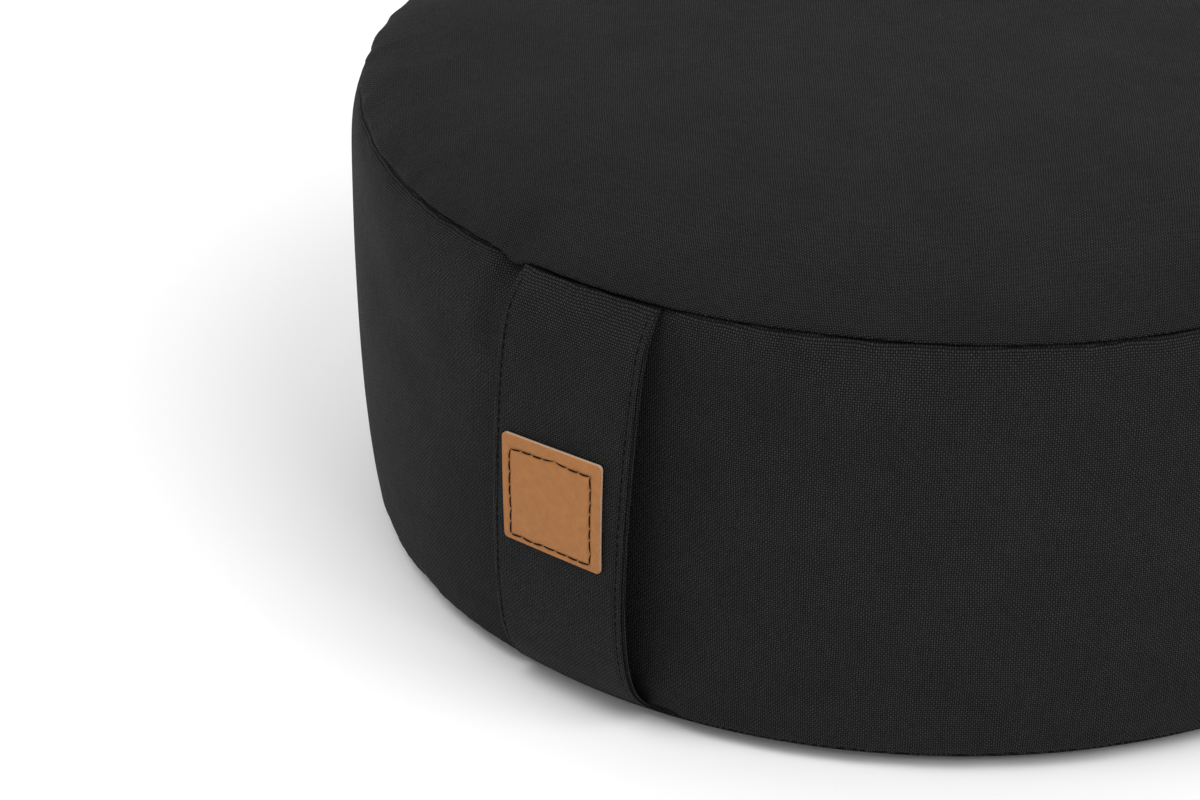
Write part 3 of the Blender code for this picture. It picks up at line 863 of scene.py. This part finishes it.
def rounded_square(inset):
    """A closed outline, shrunk by an inset, with its first point repeated at the end. Its points lie at
    even steps of length along four straight sides joined by quarter circles."""
    half = np.array((PATCH_WIDTH, PATCH_HEIGHT)) / 2 - PATCH_CORNER
    signs = np.array(((1, 1), (-1, 1), (-1, -1), (1, -1)))
    angles = np.radians(np.linspace(0, 90, 7)) + np.radians((0, 90, 180, 270))[:, None]
    arcs = np.stack((np.cos(angles), np.sin(angles)), -1) * (PATCH_CORNER - inset)
    points = (arcs + (half * signs)[:, None]).reshape(-1, 2)
    points = np.vstack((points, points[:1]))
    length = np.concatenate(([0], np.cumsum(np.linalg.norm(np.diff(points, axis=0), axis=1))))
    even = np.linspace(0, length[-1], PATCH_COLUMNS + 1)
    return np.stack([np.interp(even, length, points[:, axis]) for axis in (0, 1)], -1)


def sewn_holes():
    """The needle's holes, one run round the sewn square, each side in even steps, slightly off line."""
    turns = (("left", "top"), ("right", "top"), ("right", "bottom"), ("left", "bottom"), ("left", "top"))
    corners = np.array([(PATCH_SEWN[side], PATCH_SEWN[end]) for side, end in turns])
    holes = []
    for near, far in zip(corners[:-1], corners[1:]):
        count = round(np.linalg.norm(far - near) / PATCH_STITCH)
        holes.append(near + (far - near) * np.arange(count)[:, None] / count)
    holes = np.vstack(holes)
    holes = holes + np.random.default_rng(3).normal(scale=PATCH_STITCH_WANDER, size=holes.shape)
    return np.vstack((holes, holes[:1]))


def sewn_relief(right, up, holes):
    """How far the thread pulls the leather in: a bell curve of the distance from the sewn square, and
    another from each hole."""
    beside = np.maximum(PATCH_SEWN["left"] - right, right - PATCH_SEWN["right"])
    beyond = np.maximum(PATCH_SEWN["bottom"] - up, up - PATCH_SEWN["top"])
    outside = np.maximum(beside, beyond)
    groove = PATCH_GROOVE * np.exp(-((outside / PATCH_GROOVE_HALF) ** 2))
    away = np.hypot(right[..., None] - holes[:, 0], up[..., None] - holes[:, 1]).min(axis=-1)
    return groove + PATCH_DIMPLE * np.exp(-((away / PATCH_DIMPLE_HALF) ** 2))


def build_patch(holes, finish):
    """Rings over the back, up the raw edge, over a rounded corner and in across the face."""
    thick = PATCH_THICKNESS
    bend = np.radians(np.linspace(0, 90, 5))
    layers = [(share, 0, 0) for share in np.linspace(0.05, 1, 5)]
    layers += [(1, 0, out) for out in np.linspace(0, thick - PATCH_BEVEL, 4)[1:]]
    layers += [
        (1, PATCH_BEVEL * (1 - math.cos(angle)), thick - PATCH_BEVEL * (1 - math.sin(angle)))
        for angle in bend[1:]
    ]
    layers += [(share, PATCH_BEVEL, thick) for share in np.linspace(1, 0.02, PATCH_FACE_ROWS)[1:]]
    places = np.array([rounded_square(inset) * share for share, inset, _ in layers])
    outs = np.array([out for _, _, out in layers])[:, None]
    face = outs >= thick - PATCH_BEVEL / 2
    sunk = sewn_relief(places[..., 0], places[..., 1], holes) * face
    rings = patch_point(places[..., 0], places[..., 1], outs - sunk)
    maps = np.stack((places[:-1], places[1:]), 1)
    poles = np.stack((patch_point(0, 0, 0), patch_point(0, 0, thick)))
    patch = closed_skin("leather_patch", rings[None, :, :-1], poles[None], maps[None], finish)
    raw = np.repeat([out <= thick - PATCH_BEVEL for _, _, out in layers], rings.shape[1] - 1)
    edge = patch.data.attributes.new("raw_edge", "FLOAT", "POINT")
    edge.data.foreach_set("value", np.concatenate((raw, (1, 0))).astype(np.float32))
    return patch


def leather_material():
    """Smooth tan leather: soft clouds between two colours, a relief of small cells plus fine noise, and
    a paler, duller raw edge."""
    finish, tree, shader = new_material("tan_leather", Specular_IOR_Level=0.2)
    place = node(tree, "ShaderNodeUVMap", uv_map="cloth").outputs[0]
    spots = {"Vector": place, "Scale": LEATHER_CLOUD_SCALE, "Detail": 5, "Roughness": 0.75}
    cloud = node(tree, "ShaderNodeTexNoise", spots).outputs["Fac"]
    tan = blend(tree, cloud, LEATHER_DEEP, LEATHER_TAN)
    raw = node(tree, "ShaderNodeAttribute", attribute_name="raw_edge").outputs["Fac"]
    tree.links.new(blend(tree, raw, tan, LEATHER_RAW), shader.inputs["Base Color"])
    duller = LEATHER_RAW_ROUGHNESS - LEATHER_ROUGHNESS
    dull = maths(tree, "MULTIPLY_ADD", raw, duller, LEATHER_ROUGHNESS)
    tree.links.new(dull, shader.inputs["Roughness"])
    cells = {"Vector": place, "Scale": LEATHER_GRAIN_SCALE}
    grain = node(tree, "ShaderNodeTexVoronoi", cells, feature="SMOOTH_F1")
    fibre = node(tree, "ShaderNodeTexNoise", {"Vector": place, "Scale": LEATHER_FIBRE_SCALE, "Detail": 2})
    relief = maths(tree, "ADD", grain.outputs["Distance"], fibre.outputs["Fac"])
    emboss(tree, shader, relief, LEATHER_RELIEF, strength=0.6)
    return finish


patch_holes = sewn_holes()
patch = build_patch(patch_holes, leather_material())
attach(patch, "root")
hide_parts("patch")


def on_patch(right, up, out):
    """A point over the patch's face, in the groove that the thread lies in."""
    return patch_point(right, up, PATCH_THICKNESS - PATCH_GROOVE + out)


patch_thread = stitches(
    "patch_stitches",
    patch_holes,
    on_patch,
    PATCH_THREAD_RADIUS,
    PATCH_THREAD_LIFT,
    PATCH_STITCH_GAP,
    black_thread,
)
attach(patch_thread, "root")

bpy.context.view_layer.update()
